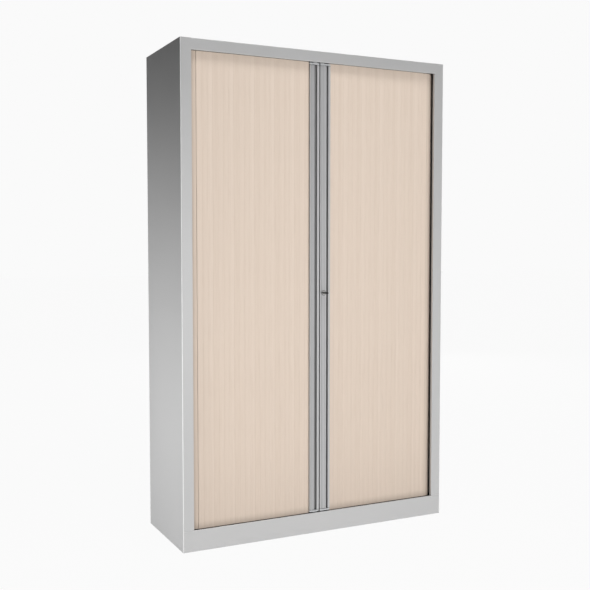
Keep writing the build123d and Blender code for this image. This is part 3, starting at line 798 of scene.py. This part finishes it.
# ---- key -----------------------------------------------------------------------------------
def bow_mesh(sizes, low, high, back_y):
    """The key's bow: a plate with rounded corners, a ring hole, and both faces recessed inside a rim."""
    bow = bmesh.new()
    plate = fill(bow, outline(bow, rectangle(low.x, high.x, low.y, back_y, low.z)))
    bmesh.ops.bevel(
        bow, geom=list(plate.verts), offset=sizes.bow_corner, offset_type="OFFSET", segments=CORNER_STEPS,
        profile=0.5, affect="VERTICES", material=-1,
    )
    bmesh.ops.delete(bow, geom=list(bow.faces), context="FACES_ONLY")
    rim_edges = list(bow.edges)
    hole = bmesh.ops.create_circle(bow, segments=sizes.fine_steps, radius=sizes.bow_hole)["verts"]
    hole_place = ((low.x + high.x) / 2, low.y + (back_y - low.y) / 4, low.z)
    bmesh.ops.translate(bow, verts=hole, vec=hole_place)
    hole_edges = [edge for edge in bow.edges if edge not in rim_edges]
    raise_faces(bow, bmesh.ops.bridge_loops(bow, edges=rim_edges + hole_edges)["faces"], high.z - low.z)
    bmesh.ops.recalc_face_normals(bow, faces=bow.faces)
    for level in (low.z, high.z):
        flat = [face for face in bow.faces if all(abs(vert.co.z - level) < TOUCH for vert in face.verts)]
        bmesh.ops.inset_region(
            bow, faces=flat, thickness=sizes.bow_rim, depth=-sizes.bow_recess, use_even_offset=True
        )
    round_edges(bow, sharp_edges(bow), BOW_ROUND)
    bmesh.ops.recalc_face_normals(bow, faces=bow.faces)
    return bow


class CUPBOARD_OT_key(MakerOperator, bpy.types.Operator):
    """Model the key: a moulded bow with a raised rim and a ring hole, and a flat steel blade"""

    bl_idname = "cupboard.key"
    bl_label = "Key"

    def execute(self, context):
        sizes, colours = settings()
        low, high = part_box("key")
        middle = (low + high) / 2
        face_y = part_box("lock_housing")[0].y
        front_y = face_y - CONTACT_GAP
        bow_back = face_y - sizes.neck
        half_width, half_height = sizes.blade_width / 2, sizes.blade_height / 2

        bow = bow_mesh(sizes, low, high, bow_back)
        neck = rounded_block(
            (middle.x - HALF_NECK, bow_back - NECK_OVERLAP, low.z),
            (middle.x + HALF_NECK, front_y, high.z),
            NECK_ROUND, steps=3,
        )
        join(bow, neck)
        blade = rounded_block(
            (middle.x - half_width, front_y, middle.z - half_height),
            (middle.x + half_width, face_y + sizes.blade_length - RUNNING_GAP, middle.z + half_height),
            BLADE_ROUND,
        )
        key_plastic = moulded("key plastic", colours.black, roughness=0.38)
        key_steel = zinc_plate("key steel", colours.zinc)
        piece("key_bow", bow, "lock", ["key"], key_plastic)
        piece("key_blade", blade, "lock", ["key"], key_steel)
        return {"FINISHED"}


# ---- feet ----------------------------------------------------------------------------------
def pad_profile(sizes):
    """Half the section of a foot's pad: a chamfered rim, a shoulder, and a crown that rises to the stud."""
    radius, top, stud = sizes.pad_radius, sizes.pad_height, sizes.stud_radius
    chamfer = 1.5 * MM
    rim_top, shoulder_top, crown_foot = top - 3.5 * MM, top - 2.0 * MM, top - 0.8 * MM
    return [
        (stud, 0.0),
        (radius - chamfer, 0.0),
        (radius, chamfer),
        (radius, rim_top),
        (radius - 1.2 * MM, shoulder_top),
        (1.9 * stud, crown_foot),
        (1.6 * stud, top),
        (stud, top),
    ]


def stud_profile(sizes, top):
    """Half the section of a foot's stud, with a chamfered top and a hair-thin core left out."""
    radius, bottom, core, chamfer = sizes.stud_radius, 0.6 * MM, 0.4 * MM, 1.0 * MM
    return [(core, bottom), (radius, bottom), (radius, top - chamfer), (radius - chamfer, top), (core, top)]


def add_nut(bm, sizes, spot, low_z, high_z):
    """Add a hexagon nut with its bore to a bmesh."""
    outer = bmesh.ops.create_circle(bm, segments=6, radius=NUT_FLATS / sqrt(3))["verts"]
    bore = sizes.stud_radius + NUT_PLAY
    inner = bmesh.ops.create_circle(bm, segments=sizes.fine_steps, radius=bore)["verts"]
    bmesh.ops.translate(bm, verts=outer + inner, vec=(spot.x, spot.y, low_z))
    loops = dict.fromkeys(edge for vert in outer + inner for edge in vert.link_edges)
    raise_faces(bm, bmesh.ops.bridge_loops(bm, edges=list(loops))["faces"], high_z - low_z)


class CUPBOARD_OT_feet(MakerOperator, bpy.types.Operator):
    """Turn the four screw feet, their pads, threaded studs and chamfered nuts"""

    bl_idname = "cupboard.feet"
    bl_label = "Feet"

    def execute(self, context):
        sizes, colours = settings()
        pads, studs, nuts = bmesh.new(), bmesh.new(), bmesh.new()
        stud_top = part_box("levelling_feet")[1].z
        nut_low, nut_high = (corner.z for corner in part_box("foot_nuts"))
        upright = (0, 0, 1)
        for spot in foot_places():
            pad = [(spot.x + out, spot.y, z) for out, z in pad_profile(sizes)]
            stud = [(spot.x + out, spot.y, z) for out, z in stud_profile(sizes, stud_top)]
            turned(pads, pad, upright, spot, sizes.round_steps)
            turned(studs, stud, upright, spot, sizes.fine_steps)
            add_nut(nuts, sizes, spot, nut_low, nut_high)
        for mesh in (pads, studs, nuts):
            close_up(mesh)
        round_edges(nuts, sharp_edges(nuts), NUT_ROUND)
        black = moulded("foot plastic", colours.black, roughness=0.5)
        thread = threaded_stud("threaded stud", colours.zinc)
        zinc = zinc_plate("nut zinc", colours.zinc)
        piece("foot_pads", pads, "carcass", ["levelling_feet"], black)
        piece("foot_studs", studs, "carcass", ["levelling_feet"], thread)
        piece("foot_nut_set", nuts, "carcass", ["foot_nuts"], zinc)
        return {"FINISHED"}


# ---- finishes of the solids ----------------------------------------------------------------
class CUPBOARD_OT_finishes(MakerOperator, bpy.types.Operator):
    """Give every solid of the frame the finish of its material slot"""

    bl_idname = "cupboard.finishes"
    bl_label = "Finishes"

    def execute(self, context):
        _, colours = settings()
        finishes = {
            "carcass_paint": powder_coat("carcass powder coat", colours.carcass, painted_bend_highlight=True),
            "interior_paint": powder_coat("inside powder coat", colours.inside),
            "wood_decor": moulded("slat core", tinted(colours.wood, 0.9), roughness=0.5),
            "lead_aluminium": anodised("anodised lead", colours.aluminium),
            "shoe_plastic": moulded("shoe plastic", colours.shoe, roughness=0.45),
            "track_plastic": moulded("track plastic", colours.black, roughness=0.55),
            "foot_plastic": moulded("foot black", colours.black, roughness=0.5),
            "zinc_steel": zinc_plate("zinc plate", colours.zinc),
            "lock_chrome": polished_nickel("lock nickel", colours.nickel, lock_centre()),
            "key_plastic": moulded("key black", colours.black, roughness=0.38),
        }
        for part in frame["record"]["subparts"]:
            materials = frame["nodes"][part["node"]].data.materials
            materials.clear()
            materials.append(finishes[part["material_slot"]])
        return {"FINISHED"}


# ---- studio --------------------------------------------------------------------------------
def studio_floor(scene, colour):
    """A wide floor that glows as evenly as the background where seen or mirrored, and is matt to other rays."""
    grid = bmesh.new()
    bmesh.ops.create_grid(grid, x_segments=8, y_segments=8, size=FLOOR_REACH)
    bmesh.ops.translate(grid, verts=grid.verts, vec=(0, 0, -FLOOR_DROP))
    mesh = bpy.data.meshes.new("studio_floor")
    grid.to_mesh(mesh)
    grid.free()
    floor = bpy.data.objects.new("studio_floor", mesh)
    scene.collection.objects.link(floor)
    floor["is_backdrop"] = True
    finish = Finish("studio floor")
    seen, mirrored = finish.rays("Is Camera Ray", "Is Glossy Ray")
    matt = finish.node("ShaderNodeBsdfDiffuse", None, {"Color": (*FLOOR_MATT, 1.0)})
    glow = finish.node("ShaderNodeEmission", None, {"Color": (*colour, 1.0), "Strength": FLOOR_GLOW})
    share = (seen + mirrored > 0.5) * GLOW_SHARE
    blend = finish.node("ShaderNodeMixShader", None, {0: share, 1: matt, 2: glow})
    finish.node("ShaderNodeOutputMaterial", None, {"Surface": blend})
    floor.data.materials.append(finish.owner)


def studio_world(colour):
    """An even background, a mirrored room that darkens upwards, and a faint light from all round."""
    world = Finish("studio", bpy.data.worlds.new("studio"))
    seen, glossy, through = world.rays("Is Camera Ray", "Is Glossy Ray", "Is Transmission Ray")
    mirrored = glossy + through > 0.5
    height = world.parts(world.node("ShaderNodeTexCoord", out="Generated"))[2]
    room = world.between(world.step(height, *HORIZON), 1.0, DARK_CEILING)
    strength = seen + mirrored * room + (1.0 - seen - mirrored) * AMBIENT
    light = world.node("ShaderNodeBackground", None, {"Color": (*colour, 1.0), "Strength": strength})
    world.node("ShaderNodeOutputWorld", None, {"Surface": light})
    return world.owner


def area_light(scene, name, place, target, width, height, power, spread, mirrored):
    """A soft rectangular light that points at a target."""
    lamp = bpy.data.lights.new(name, "AREA")
    lamp.shape = "RECTANGLE"
    lamp.size = width
    lamp.size_y = height
    lamp.energy = power
    lamp.spread = spread
    thing = bpy.data.objects.new(name, lamp)
    thing.location = place
    thing.rotation_euler = (Vector(target) - Vector(place)).to_track_quat("-Z", "Y").to_euler()
    thing.visible_camera = False
    thing.visible_glossy = mirrored
    scene.collection.objects.link(thing)


def studio_camera(scene):
    """The camera that looks at the cupboard's front and left side."""
    camera = bpy.data.cameras.new("camera")
    camera.lens = CAMERA_LENS
    camera.sensor_width = CAMERA_SENSOR
    camera.clip_end = CAMERA_REACH
    viewer = bpy.data.objects.new("camera", camera)
    viewer.location = CAMERA_PLACE
    viewer.rotation_euler = CAMERA_TURN
    scene.collection.objects.link(viewer)
    scene.camera = viewer


class CUPBOARD_OT_stage(MakerOperator, bpy.types.Operator):
    """Lay the pale floor and set up the background, the soft lights and the camera"""

    bl_idname = "cupboard.stage"
    bl_label = "Studio"

    def execute(self, context):
        _, colours = settings()
        studio_floor(context.scene, colours.floor)
        context.scene.world = studio_world(colours.floor)
        for lamp in LAMPS:
            area_light(context.scene, *lamp)
        studio_camera(context.scene)
        context.scene.view_settings.view_transform = "Standard"
        return {"FINISHED"}


# ---- panel ---------------------------------------------------------------------------------
OPERATORS = (
    CUPBOARD_OT_finishes,
    CUPBOARD_OT_curtains,
    CUPBOARD_OT_lock,
    CUPBOARD_OT_key,
    CUPBOARD_OT_feet,
    CUPBOARD_OT_stage,
)


class CUPBOARD_PT_panel(bpy.types.Panel):
    """Buttons, sizes and colours of the cupboard"""

    bl_idname = "CUPBOARD_PT_panel"
    bl_label = "Tambour cupboard"
    bl_space_type = "VIEW_3D"
    bl_region_type = "UI"
    bl_category = "Cupboard"

    def draw(self, context):
        column = self.layout.column(align=True)
        for operator in OPERATORS:
            column.operator(operator.bl_idname)
        for group in settings():
            box = self.layout.box()
            for name in group.__annotations__:
                box.prop(group, name)


CLASSES = (CupboardSizes, CupboardColours, *OPERATORS, CUPBOARD_PT_panel)


def register():
    """Register the classes and hang their settings on the scene."""
    for item in CLASSES:
        bpy.utils.register_class(item)
    bpy.types.Scene.cupboard_sizes = PointerProperty(type=CupboardSizes)
    bpy.types.Scene.cupboard_colours = PointerProperty(type=CupboardColours)


def unregister():
    """Take the settings and the classes away again."""
    del bpy.types.Scene.cupboard_colours
    del bpy.types.Scene.cupboard_sizes
    for item in reversed(CLASSES):
        bpy.utils.unregister_class(item)


def main():
    """Register the add-on and make every piece in turn."""
    register()
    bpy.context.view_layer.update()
    bpy.ops.cupboard.finishes()
    bpy.ops.cupboard.curtains()
    bpy.ops.cupboard.lock()
    bpy.ops.cupboard.key()
    bpy.ops.cupboard.feet()
    bpy.ops.cupboard.stage()


if __name__ == "__main__":
    main()
